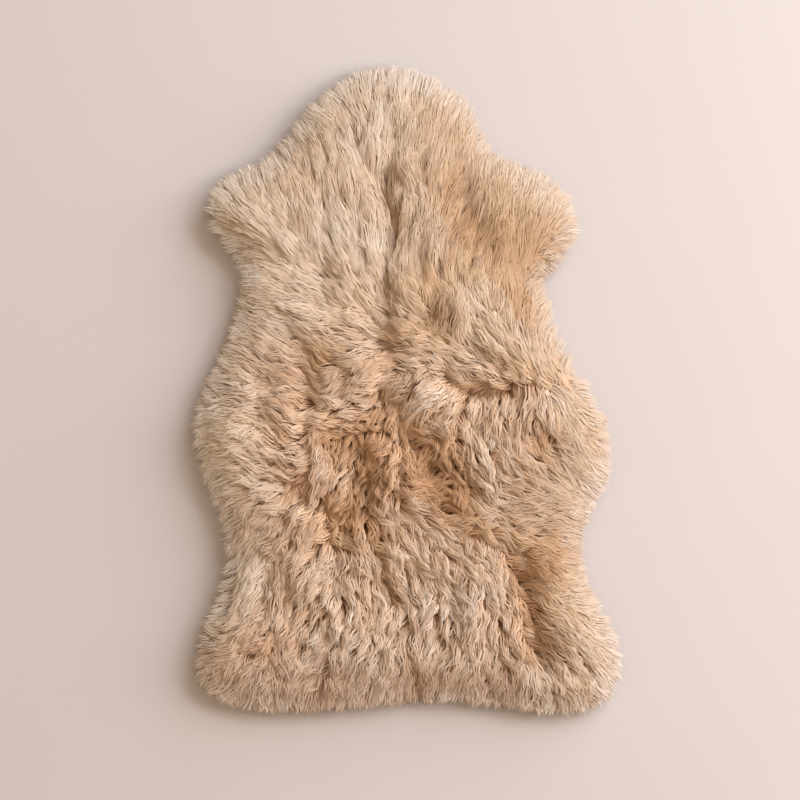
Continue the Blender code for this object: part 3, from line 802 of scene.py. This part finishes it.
def patch_sum(points, column):
    """What the patches add up to at points, in one of their columns."""
    total = np.zeros(points.shape[:-1])
    for patch in (Patch(*row) for row in rows_of(PATCHES)):
        away = np.linalg.norm(points - np.array([patch.x, patch.y]) * MM, axis=-1) / (patch.radius * MM)
        total += getattr(patch, column) * np.exp(-(away**2))
    return total


def jittered_net(pelt, spacing, dice, nearest=-1.0, furthest=0.0):
    """Places on an uneven hexagonal net, neck first, this near and this far past the hide's edge."""
    low, high = (np.array(corner[:2]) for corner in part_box("fleece"))
    row_step = spacing * math.sqrt(3) / 2
    columns, rows = np.ceil((high - low) / (spacing, row_step)).astype(int) + 2
    column, row = np.meshgrid(np.arange(columns), np.arange(rows), indexing="ij")
    spots = np.stack([(column + row % 2 / 2) * spacing, row * row_step], axis=-1).reshape(-1, 2)
    spots += low - spacing
    spots += dice.uniform(-NET_JITTER, NET_JITTER, spots.shape) * spacing
    beyond = pelt.read(pelt.beyond, spots)
    spots = spots[(beyond > nearest) & (beyond < furthest)]
    return spots[np.argsort(-spots[:, 1], kind="stable")]


# How each lock bends: its turn from the comb's way, its curl by its tip, and the wave in it, with its phase.
Bend = namedtuple("Bend", "turn curl wave phase")


def streamlines(pelt, roots, lengths, bend):
    """Flat lines from the roots, each along the comb's way as far as its bend lets it."""
    spots = [roots]
    step_count = PATH_POINTS - 1
    for step in range(step_count):
        share = (step + 0.5) / step_count
        wave = bend.wave * np.sin(bend.phase + 2 * np.pi * share * lengths / WAVE_LENGTH)
        ways = turned(pelt.way(spots[-1]), bend.turn + bend.curl * share + wave)
        spots.append(spots[-1] + ways * (lengths / step_count)[:, None])
    return np.stack(spots, axis=1)


def within_reach(pelt, roots, lengths, bend, reach):
    """The lengths, cut where a lock would end further than its reach past the hide's edge."""
    starts = pelt.read(pelt.beyond, roots)
    for _ in range(REACH_ROUNDS):
        ends_at = pelt.read(pelt.beyond, streamlines(pelt, roots, lengths, bend)[:, -1])
        share = np.clip((reach - starts) / np.maximum(ends_at - starts, LEAST_WAY_OUT), SHORTEST, 1)
        lengths = np.where(ends_at > reach, lengths * share, lengths)
    return lengths


def curliness(pelt, settings, roots):
    """How curly each lock is, from 0 to 1, read where most of it will lie."""
    ahead = roots + pelt.way(roots) * settings.length * CURL_AHEAD
    return np.clip(patch_sum(ahead, "curl"), 0, 1)


def raised(flat, height, least):
    """Flat lines given their heights, and kept this far above the floor."""
    return np.concatenate([flat, np.maximum(height, least)[..., None]], axis=-1)


def lying_paths(pelt, settings, roots, stretch, dice):
    """The middle lines of the locks that lie over the pelt. Their lengths are stretched by a share."""
    count = len(roots)
    curly = curliness(pelt, settings, roots)
    ruffle = pelt.read(pelt.ruffle, roots)
    stray = kept(ruffle, CALM_STRAY)
    clumps = ripple(roots, "clumps") + ripple(roots, "broad clumps")
    bend = Bend(
        turn=(clumps + dice.normal(0, 0.09, count)) * stray + curly * ripple(roots, "curl's turn"),
        curl=dice.normal(0, 0.22, count) * stray + curly * ripple(roots, "curl"),
        wave=0.15 + 0.5 * ruffle + 0.2 * curly,
        phase=ripple(roots, "wave's phase") + dice.normal(0, 0.4, count),
    )
    lengths = settings.length * dice.uniform(0.78, 1.2, count) * stretch
    reach = WOOL_REACH + dice.uniform(0, 6, count) * MM
    flat = streamlines(pelt, roots, within_reach(pelt, roots, lengths, bend, reach), bend)
    depth = settings.depth * dice.uniform(0.85, 1.1, count) * stretch * kept(ruffle, CALM_DEPTH)
    crest = (dice.normal(0.4, 1.1, count) + ripple(roots, "crests")) * ruffle * MM
    tip = crest + dice.uniform(-4.0, 1.5, count) * ruffle * MM
    shares = np.linspace(0, 1, PATH_POINTS)
    lifts = ((depth, LIFT_OF_DEPTH), (crest, LIFT_OF_CREST), (tip, LIFT_OF_TIP))
    lift = sum(part[:, None] * np.interp(shares, LIFT_SHARES, lift_of) for part, lift_of in lifts)
    return raised(flat, pelt.read(pelt.top, flat) + lift, PATH_GAP)


def lying_locks(pelt, settings, dice):
    """The middle lines of the plain locks over the pelt, those that fill its partings among them."""
    roots = jittered_net(pelt, settings.spacing, dice, furthest=ROOTS_END)
    fillers = jittered_net(pelt, PARTING_SPACING, dice)
    fillers = fillers[pelt.read(pelt.spread, fillers) > PARTING_SPREAD]
    stretch = np.repeat((1, PARTING_LENGTH), (len(roots), len(fillers)))
    roots = np.concatenate([roots, fillers])
    plain = curliness(pelt, settings, roots) < CURLY
    return lying_paths(pelt, settings, roots[plain], stretch[plain], dice)


def curled_locks(pelt, settings, dice):
    """The middle lines of the small curled locks in the saddle."""
    roots = jittered_net(pelt, CURLED_SPACING, dice)
    roots = roots[curliness(pelt, settings, roots) >= CURLY]
    return lying_paths(pelt, settings, roots, CURLED_LENGTH, dice)


def rim_locks(pelt, root_height, tip_height, reach, dice):
    """The middle lines of one row of locks that hang out over the rim. The row is given in millimetres."""
    roots = jittered_net(pelt, RIM_SPACING, dice, RIM_ROOTS_START, ROOTS_END)
    count = len(roots)
    lengths = reach * MM - pelt.read(pelt.beyond, roots) + dice.uniform(-6, 4, count) * MM
    turn, curl = dice.normal(0, 0.25, count), dice.normal(0, 0.3, count)
    bend = Bend(turn, curl, wave=0.15, phase=dice.uniform(0, 6, count))
    flat = streamlines(pelt, roots, np.maximum(lengths, RIM_SHORTEST), bend)
    shares = np.linspace(0, 1, PATH_POINTS)
    root_heights = root_height * MM + dice.uniform(-2, 2, count) * MM
    tip_heights = tip_height * MM + dice.uniform(-1.2, 2.0, count) * MM
    height = root_heights[:, None] * (1 - shares) + tip_heights[:, None] * shares
    return raised(flat, height + RIM_HUMP * np.sin(shares * math.pi), RIM_PATH_GAP)


def along_paths(paths, shares):
    """Points at shares of the way along paths: paths (locks, points, 3), shares (locks, wisps, rings)."""
    place = np.clip(shares, 0, 1) * (paths.shape[1] - 1)
    index = np.minimum(place.astype(int), paths.shape[1] - 2)
    blend = (place - index)[..., None]
    lock = np.arange(len(paths))[:, None, None]
    return paths[lock, index] * (1 - blend) + paths[lock, index + 1] * blend


def wisp_lines(paths, form, wisps, half_width, ruffle, dice):
    """The middle lines of the wisps in each lock, and how far each lies to its side, from -1 to 1."""
    ruffle = ruffle[:, None, None]
    shape = (len(paths), wisps)
    rings = np.array(form.shares)
    across = np.linspace(-1, 1, wisps)[:, None] + dice.uniform(-0.15, 0.15, (*shape, 1))
    stretch = dice.uniform(0.78, 1.0, (*shape, 1)) - SIDE_SHORTENING * across**2
    lines = along_paths(paths, rings * stretch)
    ahead = unit(paths[:, -1, :2] - paths[:, 0, :2])[:, None, None]
    aside = turned(ahead, np.pi / 2)
    together = 1 - TIP_GATHERING * ruffle * rings**GATHERING_POWER
    stray = dice.normal(0, 0.3, (*shape, len(rings))) * MM * np.minimum(1.2, rings * 3)
    offset = across * half_width * together + stray
    start = dice.uniform(-1, 1, (*shape, 1)) * half_width * (1 - EVENING * rings)
    lines[..., :2] += aside * offset[..., None] + ahead * start[..., None]
    sag = SIDE_SAG * across**2 + dice.uniform(-0.3, 0.7, (*shape, 1))
    lines[..., 2] -= sag * kept(ruffle, CALM_ROUNDNESS) * MM
    lines[..., 2] = np.maximum(lines[..., 2], WISP_GAP)
    return lines.reshape(-1, len(rings), 3), across.ravel()


def wisp_corners(lines, form, across, widths, dice):
    """The corners round each wisp's rings, and its tip, with each ring's ways aside and up.

    A wisp is flat, and leans to its lock's side.
    """
    ahead = np.gradient(lines, axis=1)
    level = unit((lines[:, -1:] - lines[:, :1]) * (1.0, 1.0, 0.0))
    side = np.cross((0.0, 0.0, 1.0), level)
    above = unit(np.cross(ahead, side))
    lean = (LOCK_LEAN * across + dice.normal(0, 0.16, len(lines)))[:, None, None]
    side, above = side * np.cos(lean) - above * np.sin(lean), above * np.cos(lean) + side * np.sin(lean)
    radius = widths[:, None, None] / math.sqrt(3) * np.array(form.widths)[:, None]
    rings = []
    for corner in range(CORNERS):
        angle = math.pi / 2 + corner * 2 * math.pi / CORNERS
        out = side * math.cos(angle) + above * math.sin(angle) * WISP_FLATNESS
        rings.append(lines[:, :-1] + out[:, :-1] * radius)
    corners = np.stack(rings, axis=2).reshape(len(lines), -1, 3)
    return np.concatenate([corners, lines[:, -1:]], axis=1), side[:, :-1], above[:, :-1]


def wisp_faces(form):
    """One wisp's faces: for each loop its corner, its place across the map and its share of its height."""
    ring_count = len(form.widths)
    tip = ring_count * CORNERS
    faces = []
    for ring in range(ring_count):
        for side in range(CORNERS):
            first = ring * CORNERS + side
            second = ring * CORNERS + (side + 1) % CORNERS
            if ring < ring_count - 1:
                far = ((second + CORNERS, side + 1, 1), (first + CORNERS, side, 1))
            else:
                far = ((tip, side + 0.5, 1),)
            faces.append(((first, side, 1), (second, side + 1, 1), *far))
    faces.append(((2, 2, 1), (1, 1, CAP_SHARE), (0, 0, 1)))
    return faces


def wisp_normals(faces, ruffle, side, above):
    """The normals of each wisp's loops: soft ones, as if its fibres were too fine to tell apart."""
    share = (UP_SHARE + (1 - UP_SHARE) * CALM_UP_SHARE * (1 - ruffle))[..., None]
    up = unit(above * (1 - share) + share * (0.0, 0.0, 1.0))
    rings = above.shape[1]
    leaning = kept(ruffle, CALM_LEAN)
    normals = []
    for face in faces:
        under = len({corner % CORNERS for corner, _, _ in face} & {1, 2}) == 2
        for corner, _, _ in face:
            ring = min(corner // CORNERS, rings - 1)
            lean = (0, -SIDE_LEAN, SIDE_LEAN)[corner % CORNERS] * (corner < rings * CORNERS) * leaning
            normals.append(-above[:, ring] if under else up[:, ring] + side[:, ring] * lean)
    return unit(np.stack(normals, axis=1))


def wisps_mesh(name, form, lines, heights, ruffle, across, widths, tones, warmths, dice):
    """One mesh of closed, tapered wisps, each mapped at its own tone and warmth and at its rings' heights."""
    corners, side, above = wisp_corners(lines, form, across, widths, dice)
    count, per_wisp = corners.shape[:2]
    faces = wisp_faces(form)
    loops = np.array([loop for face in faces for loop in face])
    own_corners = loops[:, 0].astype(int)
    loop_corners = own_corners + np.arange(count)[:, None] * per_wisp
    ends_of_faces = np.cumsum([len(face) for face in faces])
    starts = np.concatenate([[0], ends_of_faces[:-1]]) + np.arange(count)[:, None] * len(loops)

    data = bpy.data.meshes.new(name)
    data.vertices.add(count * per_wisp)
    data.vertices.foreach_set("co", corners.astype(np.float32).ravel())
    data.loops.add(loop_corners.size)
    data.loops.foreach_set("vertex_index", loop_corners.astype(np.int32).ravel())
    data.polygons.add(count * len(faces))
    data.polygons.foreach_set("loop_start", starts.astype(np.int32).ravel())

    # The first two wisps reach the map's ends, so that every piece's map is as large.
    tones[:2] = warmths[:2] = 0, 1
    heights[:2, -1] = 1
    tone = TONE_MARGIN + np.clip(tones, 0, 1) * (1 - 2 * TONE_MARGIN)
    left = (tone + np.round(np.clip(warmths, 0, 1) * (WARMTHS - 1))) / WARMTHS - CORNERS / 2 * SIDE_UV_WIDTH
    map_across = left[:, None] + loops[:, 1] * SIDE_UV_WIDTH
    map_along = heights[:, own_corners // CORNERS] * loops[:, 2]
    places = np.stack([map_across, map_along], axis=-1).astype(np.float32).ravel()
    for layer in ("strand", "OFBake"):
        data.uv_layers.new(name=layer).uv.foreach_set("vector", places)
    data.uv_layers["strand"].active_render = True
    data.update(calc_edges=True)
    data.shade_smooth()
    data.normals_split_custom_set(wisp_normals(faces, ruffle, side, above).reshape(-1, 3))
    made = bpy.data.objects.new(name, data)
    bpy.context.scene.collection.objects.link(made)
    return made


def lock_tones(pelt, spots, ruffle, dice):
    """How pale each lock is, and how golden, at the spots where it is seen."""
    stray = dice.normal(0, 0.08, (2, len(spots))) * kept(ruffle, CALM_STRAY)
    # Painted light: past the hide's edge the wool is paler and cooler, as light shining through its thin tips.
    rim = smooth((pelt.read(pelt.beyond, spots) - RIM_GLOW_FROM) / RIM_GLOW_FADE)
    drift = (ripple(spots, "tone") + ripple(spots, "fine tone")) * kept(ruffle, CALM_DRIFT)
    tones = TONE + patch_sum(spots, "tone") + RIM_GLOW_PALING * rim + drift + stray[0]
    warmths = WARMTH + patch_sum(spots, "warmth") - RIM_GLOW_COOLING * rim + ripple(spots, "warmth") + stray[1]
    return tones, warmths


def grow_wool(name, pelt, settings, form, paths, half_width, dice):
    """A piece of wool: the wisps of these locks. Calm wool is paler at its roots."""
    wisps = round(settings.wisps * form.wisps)
    spots = paths[:, round(SEEN_SHARE * (PATH_POINTS - 1)), :2]
    ruffle = pelt.read(pelt.ruffle, spots)
    tones, warmths = lock_tones(pelt, spots, ruffle, dice)
    lines, across = wisp_lines(paths, form, wisps, half_width, ruffle, dice)
    shape = (len(paths), wisps)
    stray = kept(ruffle, CALM_STRAY)[:, None]
    wisp_tones = (tones[:, None] + dice.normal(0, 0.05, shape) * stray).ravel()
    wisp_warmths = (warmths[:, None] + dice.normal(0, 0.08, shape)).ravel()
    widths = settings.width * form.breadth * dice.uniform(0.6, 1.15, len(lines))
    # Each ring's share from root to tip, cut down near the folds so that the wool there is painted darker, as
    # shade.
    lit = np.array(form.shares) * (1 - FOLD_SHADE * pelt.read(pelt.fold_shade, lines[..., :2]))
    ruffle = np.repeat(ruffle, wisps)[:, None]
    # The roots' darkening, partly painted shade deep in the pile, is weaker where the wool is calm.
    darkening = np.maximum(1 - CALM_PALING * (1 - ruffle), LEAST_DARKENING)
    heights = ROOT_V + (1 - ROOT_V) * (1 - (1 - lit) * darkening)
    made = wisps_mesh(name, form, lines, heights, ruffle, across, widths, wisp_tones, wisp_warmths, dice)
    made.data.materials.append(bpy.data.materials["combed_wool"])
    finish_piece(made, "fleece")


def finish_piece(made, node):
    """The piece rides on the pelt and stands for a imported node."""
    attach(made, "root")
    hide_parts(node)


def select_only(thing):
    bpy.ops.object.select_all(action="DESELECT")
    thing.select_set(True)
    bpy.context.view_layer.objects.active = thing


def merged_copy(node, name):
    """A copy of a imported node's loose triangles, merged into one closed body."""
    copy = bpy.data.objects.new(name, node.data.copy())
    copy.data.materials.clear()
    bpy.context.scene.collection.objects.link(copy)
    select_only(copy)
    bpy.ops.object.mode_set(mode="EDIT")
    bpy.ops.mesh.select_all(action="SELECT")
    bpy.ops.mesh.remove_doubles(threshold=0.01 * MM)
    bpy.ops.object.mode_set(mode="OBJECT")
    return copy


def apply_modifier(thing, kind, **settings):
    """Adds a modifier to a thing and applies it."""
    modifier = thing.modifiers.new(kind.lower(), kind)
    for name, value in settings.items():
        setattr(modifier, name, value)
    select_only(thing)
    bpy.ops.object.modifier_apply(modifier=modifier.name)


def displace(thing, width, depth, **settings):
    """Moves a thing's surface by slow clouds, each this wide."""
    pattern = bpy.data.textures.new(thing.name + "_clouds", "CLOUDS")
    pattern.noise_scale = width
    pattern.noise_depth = depth
    apply_modifier(thing, "DISPLACE", texture=pattern, texture_coords="LOCAL", **settings)


class RUG_OT_cut_hide(bpy.types.Operator):
    """Cut the tanned skin to the hide's outline, as with a die, and lay it with its soft creases"""

    bl_idname = "rug.cut_hide"
    bl_label = "Cut the hide"

    def execute(self, context):
        settings = context.scene.rug_hide
        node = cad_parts["hide"]
        low, high = (Vector(corner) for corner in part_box("hide"))
        size, middle = high - low, (low + high) / 2
        across, along = BLANK_CUTS
        bpy.ops.object.select_all(action="DESELECT")
        bpy.ops.mesh.primitive_grid_add(
            x_subdivisions=across, y_subdivisions=along, size=1.0, location=(middle.x, middle.y, 0)
        )
        skin = context.object
        skin.name = skin.data.name = "hide_skin"
        skin.scale = (size.x * BLANK_SHARE, size.y * BLANK_SHARE, 1)
        bpy.ops.object.transform_apply(location=True, rotation=True, scale=True)
        apply_modifier(skin, "SOLIDIFY", thickness=settings.thickness, offset=1.0)

        die = merged_copy(node, "die")
        bpy.ops.transform.resize(value=(1, 1, DIE_SHARE), center_override=(0, 0, middle.z))
        bpy.ops.object.transform_apply(location=True, rotation=True, scale=True)
        apply_modifier(skin, "BOOLEAN", operation="INTERSECT", object=die)
        bpy.data.objects.remove(die)
        displace(skin, CREASE_WIDTH, depth=2, strength=settings.crease, mid_level=0.0, direction="Z")
        skin.data.materials.clear()
        skin.data.materials.append(skin_look(settings))
        bpy.ops.object.shade_smooth_by_angle(angle=math.radians(40))
        finish_piece(skin, "hide")
        return {"FINISHED"}


class RUG_OT_felt_undercoat(bpy.types.Operator):
    """Felt the dense undercoat that the locks stand in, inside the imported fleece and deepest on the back"""

    bl_idname = "rug.felt_undercoat"
    bl_label = "Felt the undercoat"

    def execute(self, context):
        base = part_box("hide")[1][2] + HIDE_GAP
        coat = merged_copy(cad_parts["fleece"], "undercoat")
        apply_modifier(coat, "REMESH", mode="VOXEL", voxel_size=UNDERCOAT_VOXEL)
        apply_modifier(coat, "SMOOTH", factor=0.6, iterations=6)
        bpy.ops.transform.resize(value=UNDERCOAT_SHARE, center_override=(0, 0, base))
        bpy.ops.object.transform_apply(location=True, rotation=True, scale=True)
        pelt = Pelt()
        for corner in coat.data.vertices:
            place = np.array(corner.co.xy)
            sunk = UNDERCOAT_DEPTH + UNDERCOAT_SINKING * pelt.read(pelt.ruffle, place)
            corner.co.z = min(corner.co.z, pelt.read(pelt.top, place) - sunk)
        displace(coat, TUFT_WIDTH, depth=1, strength=TUFT_HEIGHT, mid_level=0.5, direction="NORMAL")
        for corner in coat.data.vertices:
            corner.co.z = max(corner.co.z, base)
        coat.data.materials.append(undercoat_look(context.scene.rug_wool))
        coat.data.shade_smooth()
        finish_piece(coat, "fleece")
        return {"FINISHED"}


class RUG_OT_comb_wool(bpy.types.Operator):
    """Grow the locks over the pelt, each lying the way it is combed, and the locks that hang round its rim"""

    bl_idname = "rug.comb_wool"
    bl_label = "Comb the wool"

    def execute(self, context):
        settings = context.scene.rug_wool
        wool_look(settings)
        dice = np.random.default_rng(SEED)
        pelt = Pelt()
        paths = lying_locks(pelt, settings, dice)
        half_width = settings.spacing * LOCK_HALF_SHARE
        highest = np.inf
        for name, lowest, form in BANDS:
            chosen = (paths[:, 0, 1] < highest) & (paths[:, 0, 1] >= lowest)
            grow_wool(name, pelt, settings, form, paths[chosen], half_width, dice)
            highest = lowest
        curls = curled_locks(pelt, settings, dice)
        grow_wool("curled_wool", pelt, settings, CURLED, curls, CURLED_HALF_WIDTH, dice)
        rim = np.concatenate([rim_locks(pelt, *row, dice) for row in RIM_ROWS])
        grow_wool("rim_wool", pelt, settings, RIM, rim, RIM_HALF_WIDTH, dice)
        return {"FINISHED"}


class RUG_OT_light_studio(bpy.types.Operator):
    """Lay the plain floor, light it softly from the right and set the camera straight above the rug"""

    bl_idname = "rug.light_studio"
    bl_label = "Light the studio"

    def execute(self, context):
        settings = context.scene.rug_studio
        bpy.ops.object.select_all(action="DESELECT")
        bpy.ops.mesh.primitive_plane_add(size=FLOOR_SIZE, location=(0, 0, 0))
        floor = context.object
        floor.name = floor.data.name = "studio_floor"
        floor.data.materials.append(floor_look(settings))

        self.hang("near_light", settings.near, *NEAR_LIGHT)
        self.hang("far_light", settings.far, *FAR_LIGHT)
        world = bpy.data.worlds.new("studio_air")
        world.use_nodes = True
        background = world.node_tree.nodes["Background"]
        background.inputs["Color"].default_value = AIR_COLOUR
        background.inputs["Strength"].default_value = settings.fill
        context.scene.world = world
        context.scene.view_settings.view_transform = "Standard"

        lens = bpy.data.cameras.new("camera")
        lens.lens = settings.lens
        camera = bpy.data.objects.new("camera", lens)
        camera.location = (CAMERA_X, CAMERA_Y, settings.height)
        context.scene.collection.objects.link(camera)
        context.scene.camera = camera
        return {"FINISHED"}

    @staticmethod
    def hang(name, power, place, width, colour):
        """Hangs a square soft light that faces the middle of the rug."""
        light = bpy.data.lights.new(name, "AREA")
        light.size = width
        light.energy = power
        light.color = colour
        lamp = bpy.data.objects.new(name, light)
        lamp.location = place
        lamp.rotation_euler = (-Vector(place)).to_track_quat("-Z", "Y").to_euler()
        bpy.context.scene.collection.objects.link(lamp)


class RUG_PT_rug(bpy.types.Panel):
    """The rug's sizes and colours, and the steps that make it"""

    bl_label = "Sheepskin rug"
    bl_space_type = "VIEW_3D"
    bl_region_type = "UI"
    bl_category = "Rug"

    def draw(self, context):
        for step, settings in STEPS:
            box = self.layout.box()
            for name in settings.__annotations__:
                box.prop(getattr(context.scene, SETTINGS[settings]), name)
            box.operator(step.bl_idname)


STEPS = (
    (RUG_OT_cut_hide, HideSettings),
    (RUG_OT_felt_undercoat, WoolSettings),
    (RUG_OT_comb_wool, WoolSettings),
    (RUG_OT_light_studio, StudioSettings),
)
SETTINGS = {HideSettings: "rug_hide", WoolSettings: "rug_wool", StudioSettings: "rug_studio"}
CLASSES = (*SETTINGS, *(step for step, _ in STEPS), RUG_PT_rug)


def register():
    for made in CLASSES:
        bpy.utils.register_class(made)
    for settings, name in SETTINGS.items():
        setattr(bpy.types.Scene, name, PointerProperty(type=settings))


def unregister():
    for name in SETTINGS.values():
        delattr(bpy.types.Scene, name)
    for made in reversed(CLASSES):
        bpy.utils.unregister_class(made)


def main():
    register()
    bpy.ops.rug.cut_hide()
    bpy.ops.rug.felt_undercoat()
    bpy.ops.rug.comb_wool()
    bpy.ops.rug.light_studio()


if __name__ == "__main__":
    main()
